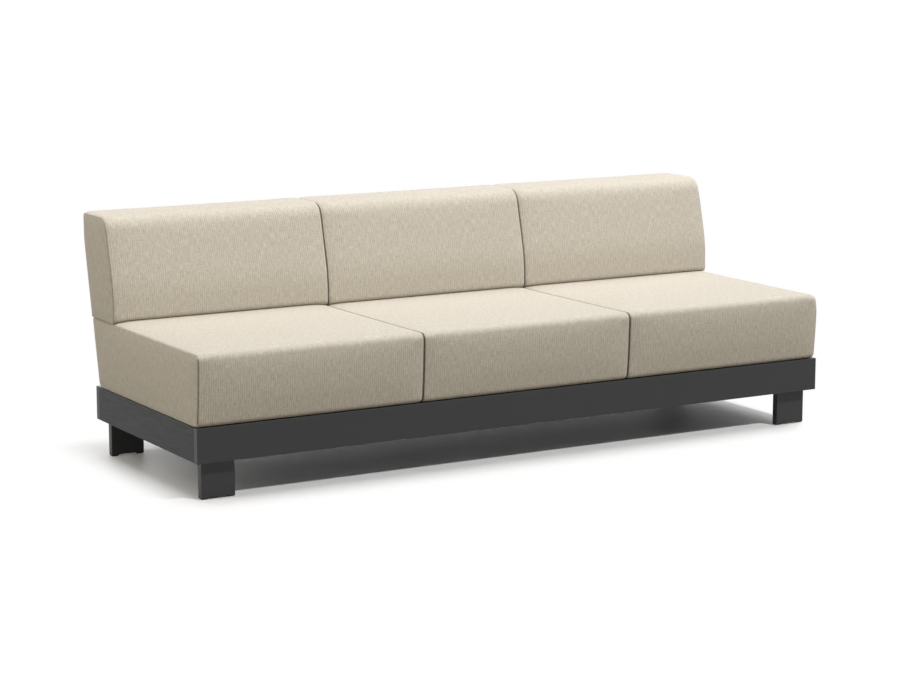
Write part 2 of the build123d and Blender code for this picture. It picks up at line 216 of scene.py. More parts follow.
def weave_group() -> NodeTree:
    """Builds the plain weave with slubbed yarns that the covers use.

    Returns:
        The node group: masks of the weave's marks and a height, from a position in metres.
    """
    outputs = ("Yarn", "Slubs", "Bands", "Ribs", "Height")
    n, came, gone = new_group("slubbed_weave", {"Vector": None, "Yarns Per Metre": 300.0}, outputs)
    place = came.outputs["Vector"]

    def marks(mark: Mark) -> object:
        across_warp, along_warp, detail, roughness = mark.value
        inputs = {"Vector": place, "Scale": (across_warp, along_warp, 1.0)}
        return n.noise(n.add("ShaderNodeMapping", inputs).outputs[0], 1.0, detail, roughness)

    # Wandering of the yarns, so that no two cross at quite the same spacing.
    inputs = {"Vector": place, "Scale": WANDERS_PER_METRE}
    wander = n.add("ShaderNodeTexNoise", inputs, noise_dimensions="2D")
    moved = n.vectors("ADD", place, n.scaled(wander.outputs["Color"], WANDER))
    split = n.add("ShaderNodeSeparateXYZ", {0: moved})
    across, along = (
        n.maths("MULTIPLY", split.outputs[axis], came.outputs["Yarns Per Metre"]) for axis in "XY"
    )
    # A plain weave: warp and weft take turns on top from one crossing to the next.
    warp, weft = (
        n.maths("ABSOLUTE", n.maths("SINE", n.maths("MULTIPLY", yarns, math.pi))) for yarns in (across, along)
    )
    over = n.maths("PINGPONG", n.maths("ADD", n.maths("FLOOR", across), n.maths("FLOOR", along)), 1.0)
    under = n.maths("SUBTRACT", 1.0, over)
    yarn = n.maths("ADD", n.maths("MULTIPLY", warp, over), n.maths("MULTIPLY", weft, under))
    # Ribs: every second warp yarn stands a little higher than its neighbours, here more and there less.
    stand = n.maths("MULTIPLY", n.maths("COSINE", n.maths("MULTIPLY", across, math.pi)), 0.5)
    strength = n.ramp(marks(Mark.RIBS), 0.35, 0.65, 0.45, 1.0)
    ribs = n.maths("ADD", n.maths("MULTIPLY", stand, strength), 0.5)
    # Slubs: long thick stretches of yarn, more of them along the warp than the weft.
    warp_slubs = n.ramp(marks(Mark.WARP_SLUBS), 0.36, 0.66)
    weft_slubs = n.ramp(marks(Mark.WEFT_SLUBS), 0.38, 0.68)
    slubs = n.weighted((warp_slubs, weft_slubs), (0.6, 0.4))
    # Bands: groups of yarns a few millimetres wide that took the dye lighter or darker.
    bands = n.weighted((marks(Mark.WARP_BANDS), marks(Mark.WEFT_BANDS)), (0.62, 0.38))
    height = n.weighted((yarn, slubs), (0.5, 0.5))
    n.put(gone, dict(zip(outputs, (yarn, slubs, bands, ribs, height))))
    return n.tree


# Frequencies of the grain's streaks and of the fine roughness between them.
STREAK_SCALE = 160.0
FINE_SCALE = 1400.0


def grain_group() -> NodeTree:
    """The faint drawn grain of the boards, the bars and the metal, built on first use.

    Returns:
        The node group: a streak mask and a height, from a position in metres.
    """
    name = "drawn_grain"
    if name in bpy.data.node_groups:
        return bpy.data.node_groups[name]
    n, came, gone = new_group(name, {"Vector": None, "Stretch": 1.0}, ("Streaks", "Height"))
    split = n.add("ShaderNodeSeparateXYZ", {0: came.outputs["Vector"]}).outputs
    drawn_x = n.maths("DIVIDE", split["X"], came.outputs["Stretch"])
    drawn = n.add("ShaderNodeCombineXYZ", {"X": drawn_x, "Y": split["Y"], "Z": split["Z"]})
    streaks = n.noise(drawn.outputs[0], STREAK_SCALE, 4.0, 0.6)
    fine = n.noise(came.outputs["Vector"], FINE_SCALE)
    n.put(gone, {"Streaks": streaks, "Height": n.weighted((streaks, fine), (0.6, 0.4))})
    return n.tree


def new_material(name: str) -> tuple[Material, Nodes, Node]:
    """An empty node material.

    Args:
        name: the material's name.

    Returns:
        The material, its wrapped tree and its Principled BSDF.
    """
    material = bpy.data.materials.new(name)
    material.use_nodes = True
    nodes = Nodes(material.node_tree)
    shader = next(node for node in material.node_tree.nodes if node.type == "BSDF_PRINCIPLED")
    return material, nodes, shader


# Finishes


@dataclass(frozen=True)
class WovenFinish:
    """Heathered plain-weave cloth, laid by the piece's own UV map in metres, with painted shade along its
    seams.
    """

    name: str
    light: Colour
    dark: Colour
    yarns_per_metre: float = 300.0
    flecks_per_metre: float = 340.0
    band_range: Pair = (0.34, 0.66)
    shares: tuple[float, ...] = (0.33, 0.17, 0.14, 0.08, 0.28)
    roughness: float = 0.92
    specular: float = 0.2
    sheen: float = 0.3
    sheen_roughness: float = 0.5
    bump: float = 0.5
    yarn_height: float = 0.5 * MM
    stitch: float = 5.0 * MM
    between_stitches: float = 0.6
    seam_width: Pair = (0.6 * MM, 2.6 * MM)
    seam_shade: float = 0.25

    def build(self) -> Material:
        """Makes the material."""
        material, n, shader = new_material(self.name)

        def mark(name: str) -> object:
            return n.add("ShaderNodeAttribute", attribute_name=name).outputs["Fac"]

        uv = n.add("ShaderNodeUVMap", uv_map="cloth").outputs[0]
        inputs = {"Vector": uv, "Yarns Per Metre": self.yarns_per_metre}
        weave = n.add("ShaderNodeGroup", inputs, node_tree=weave_group()).outputs
        bands = n.ramp(weave["Bands"], *self.band_range)
        flecks = n.noise(uv, self.flecks_per_metre, 1.0)
        mask = n.weighted((bands, weave["Slubs"], flecks, weave["Yarn"], weave["Ribs"]), self.shares)
        # Painted shade along the seams: the cloth darkens near a seam by as much as each point's mark says,
        # in dots where the stitches pull.
        seam_shade_ramp = n.ramp(mark("seam_distance"), *self.seam_width, self.seam_shade, 1.0)
        beat = n.maths("SINE", n.maths("MULTIPLY", mark("seam_run"), 2 * math.pi / self.stitch))
        stitched = n.ramp(beat, -1.0, 1.0, self.between_stitches, 1.0)
        painted_shade = n.maths("MULTIPLY", mark("painted_seam_shade"), stitched)
        shade = n.add("ShaderNodeMix", {0: painted_shade, 2: 1.0, 3: seam_shade_ramp}, data_type="FLOAT").outputs[0]
        inputs = {
            "Base Color": n.scaled(n.mix(mask, self.dark, self.light), shade),
            "Roughness": self.roughness,
            "Specular IOR Level": self.specular,
            "Sheen Weight": self.sheen,
            "Sheen Roughness": self.sheen_roughness,
        }
        n.put(shader, inputs)
        n.bump(shader, weave["Height"], self.yarn_height, self.bump)
        return material


class Way(Enum):
    """Turns that lay a finish's grain along an axis."""

    ALONG = (0.0, 0.0, 0.0)
    DEEP = (0.0, 0.0, math.pi / 2)
    UP = (0.0, math.pi / 2, 0.0)


@dataclass(frozen=True)
class BoardFinish:
    """A smooth surface with a faint drawn grain: the boards', the bars', the metal's and the zips'."""

    name: str
    colour: Colour
    roughness: float = 0.42
    roughness_range: Pair = (-0.05, 0.06)
    metallic: float = 0.0
    specular: float = 0.35
    variation: float = 0.045
    streak_range: Pair = (0.3, 0.7)
    bump: float = 0.25
    grain_height: float = 0.15 * MM
    stretch: float = 1.0
    way: Way = Way.ALONG

    def build(self) -> Material:
        """Makes the material."""
        material, n, shader = new_material(self.name)
        where = n.add("ShaderNodeTexCoord").outputs["Object"]
        turned = n.add("ShaderNodeMapping", {"Vector": where, "Rotation": self.way.value}).outputs[0]
        inputs = {"Vector": turned, "Stretch": self.stretch}
        grain = n.add("ShaderNodeGroup", inputs, node_tree=grain_group()).outputs
        less, more = self.roughness_range
        streaks = (grain["Streaks"], *self.streak_range)
        shade = n.ramp(*streaks, 1.0 - self.variation, 1.0 + self.variation)
        inputs = {
            "Base Color": n.scaled(self.colour, shade),
            "Roughness": n.ramp(*streaks, self.roughness + less, self.roughness + more),
            "Metallic": self.metallic,
            "Specular IOR Level": self.specular,
        }
        n.put(shader, inputs)
        n.bump(shader, grain["Height"], self.grain_height, self.bump)
        return material


class Finish(Enum):
    """Every finish on the sofa, named like its material slot, with three for the boards' grain, one of them
    darker and less shiny as painted shade.
    """

    WOVEN_COVER = WovenFinish("cover_weave", light=(0.78, 0.716, 0.612), dark=(0.351, 0.317, 0.263))
    BOARD_ALONG = BoardFinish("charcoal_board_along", colour=(0.031, 0.031, 0.033), stretch=12.0)
    # Painted shade: the boards that run front to back get a darker, less shiny copy of the charcoal, so the
    # sofa's ends read as shaded.
    BOARD_DEEP = BoardFinish(
        "charcoal_board_deep_shaded", colour=(0.0235, 0.0235, 0.0245), specular=0.15, stretch=12.0, way=Way.DEEP
    )
    BOARD_UP = BoardFinish("charcoal_board_up", colour=(0.031, 0.031, 0.033), stretch=12.0, way=Way.UP)
    COATED_BAR = BoardFinish("bar_coating", colour=(0.04, 0.04, 0.042), roughness=0.5, variation=0.05)
    ALUMINIUM_ANGLE = BoardFinish(
        "angle_metal", colour=(0.62, 0.63, 0.64), roughness=0.38, metallic=1.0, stretch=40.0
    )
    STAINLESS_STEEL = BoardFinish("fastener_metal", colour=(0.58, 0.57, 0.56), roughness=0.3, metallic=1.0)
    GLIDE_PLASTIC = BoardFinish("glide_polymer", colour=(0.012, 0.012, 0.012), roughness=0.6)
    ZIP_TAPE = BoardFinish("zip_cloth", colour=(0.36, 0.31, 0.24), roughness=0.7)
    ZIP_SLIDER = BoardFinish("slider_metal", colour=(0.30, 0.27, 0.22), roughness=0.35, metallic=1.0)

    def material(self) -> Material:
        """The finish's material, made on first use."""
        return bpy.data.materials.get(self.value.name) or self.value.build()


# Cushions

# How far the middle of a seat cushion's end panel stands out where no cushion stands beside it.
END_ROOM = 8.0 * MM
# What belongs to the top of a ring, from the top down, as a share of its front and rear.
TOP_SHARE = 0.28
# Where the seams' painted shade and the underside's hold fade out, as shares of a ring's side.
SHADE_FADE = 0.06
SEAT_FADE = 0.04
# Where the end panels lie on the cloth.
PANEL_CLOTH = (0.31, 0.17)
# Places on a ring before the first are its start, and a ring closes the second past its last point.
RING_START = 10.0 * MM
RING_CLOSE = 3.0 * MM
# How far from a seam its stitches hold the cloth still.
SEWN = 2.0 * MM
# Distances at which a cushion starts to be free of what it touches, and is quite free.
FREE_OF_DECK = (6.0 * MM, 90.0 * MM)
FREE_OF_SEAT = (12.0 * MM, 130.0 * MM)
SEAT_OFF_SLATS = (10.0 * MM, 60.0 * MM)
BACK_OFF_SLATS = (8.0 * MM, 50.0 * MM)
# The same for a seat's top under a back cushion, ahead of its foot and down from the top.
AHEAD_OF_FOOT = (-110.0 * MM, 0.0)
UNDER_FOOT = (-60.0 * MM, -20.0 * MM)
# How free a back cushion's rear is above the slats.
OVER_SLATS = 0.6
# The cloth simulation's length, in frames, and its pressure. The cloth is the simulation's own.
SWELL_FRAMES = 20
PRESSURE = 4.0


@dataclass(frozen=True)
class Corner:
    """A corner of a cushion's outline across the sofa, in metres."""

    y: float
    z: float
    radius: float
    main: bool = True


class Outline:
    """A closed outline of straight runs and rounded corners, cut into four sides at its main corners."""

    ARC_STEPS = 16

    def __init__(self, corners: list[Corner]) -> None:
        """Rounds the corners, which run from the front's foot up and over to the rear's, and cuts there."""
        count = len(corners)
        ring: list[Array] = []
        cuts = []
        for i, corner in enumerate(corners):
            arc = self._rounded(corners[i - 1], corner, corners[(i + 1) % count])
            if corner.main:
                cuts.append(len(ring) + len(arc) // 2)
            ring += arc
        self.sides = []
        for i, cut in enumerate(cuts):
            stop = cuts[(i + 1) % len(cuts)]
            piece = ring[cut : stop + 1] if stop > cut else ring[cut:] + ring[: stop + 1]
            self.sides.append(np.array(piece))

    @classmethod
    def _rounded(cls, before: Corner, here: Corner, after: Corner) -> list[Array]:
        """Points of the arc that rounds one corner between its neighbours."""
        middle = np.array((here.y, here.z))
        back, ahead = (np.array((near.y, near.z)) - middle for near in (before, after))
        back /= np.linalg.norm(back)
        ahead /= np.linalg.norm(ahead)
        half = math.acos(float(np.clip(back @ ahead, -1.0, 1.0))) / 2
        bisector = (back + ahead) / np.linalg.norm(back + ahead)
        centre = middle + bisector * (here.radius / math.sin(half))
        first = middle + back * (here.radius / math.tan(half)) - centre
        last = middle + ahead * (here.radius / math.tan(half)) - centre
        turn = math.pi - 2 * half
        points = []
        for step in range(cls.ARC_STEPS + 1):
            part = step / cls.ARC_STEPS
            spoke = (math.sin((1 - part) * turn) * first + math.sin(part * turn) * last) / math.sin(turn)
            points.append(centre + spoke)
        return points

    def length(self, side: int) -> float:
        """The length of one side."""
        return float(np.linalg.norm(np.diff(self.sides[side], axis=0), axis=1).sum())

    def points(self, side: int, shares: Array) -> Array:
        """Points along a side at the given shares of its length, from 0 to 1."""
        run = self.sides[side]
        along = travelled(run)
        return np.stack([np.interp(shares * along[-1], along, run[:, k]) for k in (0, 1)], axis=1)


def graded(length: float, fine: float, coarse: float, growth: float) -> Array:
    """Cuts a length into spans that are fine at both ends and grow towards its middle.

    Args:
        length: the length.
        fine: the first and the last span.
        coarse: the longest span.
        growth: each span over the one before it.

    Returns:
        The cuts as shares of the length, from 0 to 1.
    """
    spans: list[float] = []
    span = fine
    while sum(spans) + span < length / 2 and span < coarse:
        spans.append(span)
        span *= growth
    left = length - 2 * sum(spans)
    middle = max(1, round(left / coarse))
    whole = spans + [left / middle] * middle + spans[::-1]
    return np.concatenate([[0.0], np.cumsum(whole)]) / sum(whole)


def smooth(value: Array, low: float, high: float) -> Array:
    """A smooth step from 0 at low to 1 at high."""
    part = np.clip((value - low) / (high - low), 0.0, 1.0)
    return part * part * (3 - 2 * part)


def travelled(points: Array) -> Array:
    """How far along a run of points each of them lies."""
    return np.concatenate([[0.0], np.cumsum(np.linalg.norm(np.diff(points, axis=0), axis=1))])


def points_of(mesh: Mesh) -> Array:
    """The places of a mesh's points."""
    flat = np.zeros(len(mesh.vertices) * 3, np.float32)
    mesh.vertices.foreach_get("co", flat)
    return flat.reshape(-1, 3)


def move_points(mesh: Mesh, points: Array) -> None:
    """Puts a mesh's points in new places."""
    mesh.vertices.foreach_set("co", points.astype(np.float32).ravel())
    mesh.update()


def tighter(radius: float, inset: float) -> float:
    """A corner's radius on an outline that is drawn in by an inset."""
    return max(radius - inset, radius / 4)


@dataclass
class Setting:
    """Places on the frame that the cushions take their own place from, in metres."""

    face: float
    deck: float
    half_width: float
    row_inset: float = 1.5 * MM
    seats: int = 3
    lean: float = math.radians(12.0)
    slat_line: float = 700.367 * MM
    rest: float = 0.4 * MM
    seat_top: float = 204.0 * MM
    least_crown: float = 1.5 * MM

    @property
    def pitch(self) -> float:
        """Middle of one cushion to the middle of the next."""
        return 2 * (self.half_width - self.row_inset) / self.seats

    def rear(self, height: float, inset: float) -> float:
        """Y of the plane that the cushions lean on at a height, less an inset square to it."""
        off = (self.rest + inset) / math.cos(self.lean)
        return self.face + self.slat_line - off + (height - self.deck) * math.tan(self.lean)

    def ahead(self, points: Array) -> Array:
        """How far each point is in front of that plane, along Y."""
        return self.rear(points[:, 2].astype(float), 0.0) - points[:, 1]


class Rows:
    """The points of a cushion's mesh and what they record, row by row."""

    def __init__(self) -> None:
        """Starts without a row."""
        self.points: list[Array] = []
        self.marks: dict[str, list[Array]] = {"seam_distance": [], "seam_run": [], "painted_seam_shade": []}

    def add(self, x: object, across: Array, *marks: object) -> Array:
        """Adds a row.

        Args:
            x: its points' place along the sofa, one for all or one for each, as for the marks.
            across: their places across the sofa.
            marks: their distance from the seam, their place along it and how much painted shade the seam gets
                beside them.

        Returns:
            The points' numbers.
        """
        first = sum(len(row) for row in self.points)
        count = len(across)
        self.points.append(np.column_stack([np.broadcast_to(x, count), across]))
        for values, mark in zip(self.marks.values(), marks):
            values.append(np.broadcast_to(mark, count))
        return np.arange(first, first + count)


@dataclass
class Cushion:
    """A loose box cushion: one wrap panel from end to end, sewn to a panel at each end."""

    side: str
    place: int
    setting: Setting
    kind: str = ""
    end_share: float = 1.0
    ring_room: float = 0.55
    gap: float = 0.9 * MM
    offset: float = 0.0
    narrower: float = 0.0
    last_longer: float = 0.0
    lip: float = 0.6 * MM
    lip_border: float = 3.0 * MM
    bulge: float = 1.4 * MM
    left_edge: Pair = (8.5 * MM, 2.8 * MM)
    right_edge: Pair = (8.5 * MM, 2.8 * MM)
    outer_right_edge: Pair = (5.0 * MM, 1.2 * MM)
    outer_top: Pair = (26.0 * MM, 8.5 * MM)
    groove_width: float = 1.8 * MM
    groove_depth: float = 1.3 * MM
    front_crown: float = 0.5 * MM
    crown_border: float = 65.0 * MM
    crown_power: float = 2.4
    belly: float = 4.0 * MM
    seam_bow: float = 0.35
    # Painted shade along a seam at the front, the top and the rear, for an outer end and for a joint between
    # cushions.
    seam_pull: Triple = (1.0, 0.1, 0.5)
    joint_pull: Triple = (1.0, 0.8, 0.6)
    borders: tuple[float, ...] = tuple(b * MM for b in (1.0, 2.2, 3.8, 6.0, 9.0, 13.0, 18.5, 26.0, 36.0))
    first_station: float = 1.1 * MM
    station_growth: float = 1.4
    fine: float = 3.2 * MM
    growth: float = 1.35
    coarse: float = 13.0 * MM
    cap: float = 3.0 * MM
    fill: float = 0.85
    ease: float = 3.0

    @property
    def body(self) -> str:
        """Name of the cushion's body, which its piece has too."""
        return f"{self.kind}_cushion_{self.side}"

    @property
    def replaced(self) -> tuple[str, str]:
        """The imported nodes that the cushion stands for."""
        return f"{self.kind}_cover_{self.side}", f"{self.kind}_core_{self.side}"

    @property
    def last(self) -> bool:
        """Whether the cushion is at its row's right end."""
        return self.place == self.setting.seats - 1

    @property
    def end_room(self) -> Pair:
        """How far the left and the right end panel stand out where no cushion stands beside them."""
        room = END_ROOM * self.end_share
        return room * (self.place == 0), room * self.last

    @property
    def longer(self) -> float:
        """How far the cushion reaches past its place in the row, to the right."""
        return self.last_longer * self.last

    @property
    def pitch(self) -> float:
        """Middle of this cushion to the middle of the next."""
        return self.setting.pitch - self.narrower

    @property
    def middle(self) -> float:
        """X of the cushion's middle, with the row packed towards the left end."""
        s = self.setting
        first = self.offset + s.row_inset - s.half_width
        return first + (self.place + 0.5) * self.pitch + self.longer / 2

    @property
    def reach(self) -> float:
        """Middle to the furthest point of an end panel."""
        return (self.pitch + self.longer - self.gap) / 2

    @property
    def seam(self) -> float:
        """Middle to the seam round an end panel."""
        return self.reach - self.bulge

    def rounding(self, share: float, inset: float) -> float:
        """Radius of the main upper corner where the crown has a share of its height."""
        return tighter(self.seam_corner + (self.corner - self.seam_corner) * share, inset)

    def corners(self, share: float, inset: float) -> list[Corner]:
        """Corners of the outline where the crown has a share of its height, less an inset."""
        raise NotImplementedError

    def resting(self, points: Array) -> Array:
        """How freely each point may swell: 0 where the cushion rests on something, 1 where it is free."""
        raise NotImplementedError

    def crown_share(self, inwards: float) -> float:
        """Share of the crown's height at a distance from the seam."""
        part = float(np.clip(inwards / self.crown_border, 0.0, 1.0))
        return 1 - (1 - part) ** self.crown_power

    def _around(self, front: object, top: object, rear: object, bottom: object) -> Array:
        """What each of a ring's points has, from a number or an array for each of its sides."""
        counts = [len(self.shares[run % 2]) - 1 for run in range(4)]
        sides = zip((front, top, rear, bottom), counts)
        return np.concatenate([np.broadcast_to(value, count) for value, count in sides])

    def sunk(self, away: float, side: int) -> Array:
        """How far each of a ring's points dips towards a seam: the rounded edge and the stitches' groove.

        Args:
            away: the ring's distance from the seam.
            side: 0 for the left seam, 1 for the right.

        Returns:
            The dip of each point.
        """

        def edge(width: float, depth: float) -> float:
            return depth * max(1 - away / width, 0.0) ** 2

        tall, deep = (share[:-1] for share in self.shares)
        groove = self.groove_depth * max(1 - away / self.groove_width, 0.0) ** 1.5
        if side and self.last:
            top = self._around(smooth(tall, 1 - TOP_SHARE, 1.0), 1.0, 1 - smooth(tall, 0.0, TOP_SHARE), 0.0)
            dip = edge(*self.outer_right_edge) * (1 - top) + edge(*self.outer_top) * top
        else:
            dip = edge(*(self.left_edge, self.right_edge)[side])
        seated = 1 - smooth(np.minimum(deep, 1 - deep), 0.0, SEAT_FADE)
        return (dip + groove) * self._around(1.0, 1.0, 1.0, seated)

    def _pull(self, side: int) -> Array:
        """How much painted shade the seam gets at each point of a ring near one end."""
        tall = self.shares[0][:-1]
        front, top, rear = self.seam_pull if self.end_room[side] > 0 else self.joint_pull
        steady = smooth(np.minimum(tall, 1 - tall), 0.0, SHADE_FADE)
        return self._around(top + (front - top) * steady, top, top + (rear - top) * steady, top)

    def _ring(self, share: float, inset: float, away: float, side: int) -> Array:
        """The points of one ring round the cushion.

        Args:
            share: how much of its height the crown has there.
            inset: how far the outline is drawn in.
            away: the ring's distance from the seam.
            side: 0 for the left seam, 1 for the right.

        Returns:
            The points across the sofa, side after side, each corner once.
        """
        outline = Outline(self.corners(share, inset))
        ring = np.concatenate([outline.points(run, self.shares[run % 2])[:-1] for run in range(4)])
        tangent = np.roll(ring, -1, axis=0) - np.roll(ring, 1, axis=0)
        normal = np.stack([-tangent[:, 1], tangent[:, 0]], axis=1)
        outwards = normal / np.linalg.norm(normal, axis=1, keepdims=True)
        tall = self.shares[0][:-1]
        bow = self._around(4 * tall * (1 - tall), 0.0, 0.0, 0.0) * self.belly * max(share, self.seam_bow)
        return ring + outwards * (bow - self.sunk(away, side))[:, None]

    def build(self) -> Object:
        """Makes the cushion's mesh, seam and all.

        Returns:
            The new object.
        """
        whole = Outline(self.corners(1.0, 0.0))
        self.shares = [
            graded(max(whole.length(run), whole.length(run + 2)), self.fine, self.coarse, self.growth)
            for run in (0, 1)
        ]
        stations = graded(2 * self.seam, self.first_station, self.coarse, self.station_growth)
        rows = Rows()
        wrap = []
        for x in (stations * 2 - 1) * self.seam:
            inwards = self.seam - abs(x)
            side = int(x > 0)
            ring = self._ring(self.crown_share(inwards), 0.0, inwards, side)
            wrap.append(rows.add(x, ring, inwards, travelled(ring), self._pull(side)))
        faces = []
        for here, after in zip(wrap, wrap[1:]):
            faces += zip(here, np.roll(here, -1), np.roll(after, -1), after)
        first_panel_face = len(faces)
        seam_run = rows.marks["seam_run"][0]
        for side, sign in enumerate((-1, 1)):
            rings = [wrap[-side]]
            for border in self.borders:
                x = sign * (self.seam + self._swell(border, self.end_room[side]))
                ring = self._ring(0.0, border, 0.0, side)
                rings.append(rows.add(x, ring, border, seam_run, self._pull(side)))
            for outer, inner in zip(rings, rings[1:]):
                faces += zip(outer, inner, np.roll(inner, -1), np.roll(outer, -1))
            faces += self._fill(side, rings[-1], rows)
        coordinates = np.concatenate(rows.points)
        marks = {name: np.concatenate(values) for name, values in rows.marks.items()}
        cloth = np.column_stack([coordinates[:, 0], marks["seam_run"]])
        coordinates[:, 0] += self.middle
        mesh = bpy.data.meshes.new(self.body)
        mesh.from_pydata(coordinates.tolist(), [], np.array(faces).tolist())
        self._mark(mesh, marks, cloth, first_panel_face)
        piece = bpy.data.objects.new(self.body, mesh)
        bpy.context.scene.collection.objects.link(piece)
        return piece

    def _swell(self, border: float, room: float) -> float:
        """How far an end panel stands out at a distance from its seam, with a room beside it."""
        near = 1 - (1 - min(border / self.lip_border, 1.0)) ** 2
        far = 1 - (1 - min(border / self.borders[-1], 1.0)) ** 2
        return self.lip * near + (self.bulge - self.lip + self.ring_room * room) * far

    def _fill(self, side: int, ring: Array, rows: Rows) -> list[list[int]]:
        """Fills the middle of an end panel with a grid.

        Args:
            side: 0 for the left panel, 1 for the right.
            ring: numbers of the innermost ring's points.
            rows: the mesh's points so far, which this adds to.

        Returns:
            The grid's faces.
        """
        tall, deep = (len(share) - 1 for share in self.shares)
        front = ring[: tall + 1]
        top = ring[tall : tall + deep + 1]
        rear = ring[tall + deep : 2 * tall + deep + 1][::-1]
        bottom = np.append(ring[2 * tall + deep :], ring[0])[::-1]
        flat = np.concatenate(rows.points)[:, 1:]
        u = np.linspace(0, 1, deep + 1)[1:-1, None, None]
        v = np.linspace(0, 1, tall + 1)[None, 1:-1, None]
        across = (1 - u) * flat[front][None, 1:-1] + u * flat[rear][None, 1:-1]
        upward = (1 - v) * flat[bottom][1:-1, None] + v * flat[top][1:-1, None]
        corners = (
            (1 - u) * (1 - v) * flat[front[0]]
            + (1 - u) * v * flat[front[-1]]
            + u * (1 - v) * flat[rear[0]]
            + u * v * flat[rear[-1]]
        )
        inner = (across + upward - corners).reshape(-1, 2)
        # The product is 1/16 in the panel's middle, so the dome's height there is 1.
        dome = np.broadcast_to((16 * u * (1 - u) * v * (1 - v)) ** 2, across.shape[:2] + (1,)).reshape(-1)
        rise = self.end_room[side] * (self.ring_room + (1 - self.ring_room) * dome)
        added = rows.add((2 * side - 1) * (self.reach + rise), inner, self.borders[-1], 0.0, 0.0)
        grid = np.zeros((deep + 1, tall + 1), int)
        grid[0], grid[-1], grid[:, 0], grid[:, -1] = front, rear, bottom, top
        grid[1:-1, 1:-1] = added.reshape(deep - 1, tall - 1)
        quads = np.stack([grid[:-1, :-1], grid[1:, :-1], grid[1:, 1:], grid[:-1, 1:]], axis=-1)
        return quads.reshape(-1, 4).tolist()

    def _mark(self, mesh: Mesh, marks: dict[str, Array], cloth: Array, first_panel_face: int) -> None:
        """Turns the faces outwards and records the seam and the cloth's own map.

        Args:
            mesh: the cushion's mesh, all of its faces with four corners.
            marks: values for each point, by name.
            cloth: each point's place on the wrap's cloth.
            first_panel_face: number of the first face of the end panels.
        """
        for name, values in marks.items():
            mesh.attributes.new(name, "FLOAT", "POINT").data.foreach_set("value", values.astype(np.float32))
        layer = mesh.uv_layers.new(name="cloth")
        loop_points = np.zeros(len(mesh.loops), np.int32)
        mesh.loops.foreach_get("vertex_index", loop_points)
        place = cloth[loop_points]
        # The end panels are cut from the same cloth and laid flat.
        panels = 4 * first_panel_face
        place[panels:] = points_of(mesh)[loop_points[panels:], 1:] + np.array(PANEL_CLOTH)
        # The wrap's last strip closes the ring, so its far edge goes on past the full length.
        runs = place[:panels].reshape(-1, 4, 2)[:, :, 1]
        full = marks["seam_run"].max()
        closing = np.ptp(runs, axis=1) > 0.5 * full
        runs[closing[:, None] & (runs < RING_START)] = full + RING_CLOSE
        layer.data.foreach_set("uv", place.astype(np.float32).ravel())
        work = bmesh.new()
        work.from_mesh(mesh)
        bmesh.ops.recalc_face_normals(work, faces=work.faces)
        work.to_mesh(mesh)
        work.free()

    def swell(self, piece: Object) -> None:
        """Blows the sewn cover up a little with a cloth simulation and keeps the result in the mesh.

        Args:
            piece: the cushion.
        """
        mesh = piece.data
        start = points_of(mesh)
        away = np.zeros(len(start), np.float32)
        mesh.attributes["seam_distance"].data.foreach_get("value", away)
        pins = piece.vertex_groups.new(name="sewn")
        pins.add(np.flatnonzero(away < SEWN).tolist(), 1.0, "REPLACE")
        cloth = piece.modifiers.new("cloth", "CLOTH")
        cloth.settings.use_pressure = True
        cloth.settings.uniform_pressure_force = PRESSURE
        cloth.settings.effector_weights.gravity = 0.0
        cloth.settings.vertex_group_mass = pins.name
        cloth.point_cache.frame_end = SWELL_FRAMES
        scene = bpy.context.scene
        for step in range(1, SWELL_FRAMES + 1):
            scene.frame_set(step)
        evaluated = piece.evaluated_get(bpy.context.evaluated_depsgraph_get())
        move = points_of(evaluated.data) - start
        piece.modifiers.remove(cloth)
        piece.vertex_groups.remove(pins)
        scene.frame_set(1)
        size = np.linalg.norm(move, axis=1)
        log.info("%s swelled by up to %.1f mm", self.body, float(size.max()) / MM)
        held = (1 - np.exp(-size / (self.cap * self.ease))) * self.cap / np.maximum(size, 1e-9)
        end = start + move * held[:, None] * self.resting(start)[:, None]
        left, right = self.end_room
        side = np.clip(end[:, 0] - self.middle, -self.reach - left, self.reach + right)
        end[:, 0] = side + self.middle
        move_points(mesh, end)

    def settle(self, piece: Object) -> None:
        """Lets the cushion creep from its place in the row, where it does."""

    def finish(self, piece: Object) -> None:
        """Smooths the cushion, gives it its cloth and puts it on its body.

        Args:
            piece: the cushion.
        """
        bpy.ops.object.select_all(action="DESELECT")
        bpy.context.view_layer.objects.active = piece
        piece.select_set(True)
        finer = piece.modifiers.new("finer", "SUBSURF")
        finer.levels = 1
        bpy.ops.object.modifier_apply(modifier=finer.name)
        bpy.ops.object.shade_smooth()
        piece.data.materials.append(Finish.WOVEN_COVER.material())
        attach(piece, self.body)
        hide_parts(*self.replaced)

    def make(self) -> None:
        """Builds the cushion from its sewn shape to its cloth."""
        piece = self.build()
        self.swell(piece)
        self.settle(piece)
        self.finish(piece)


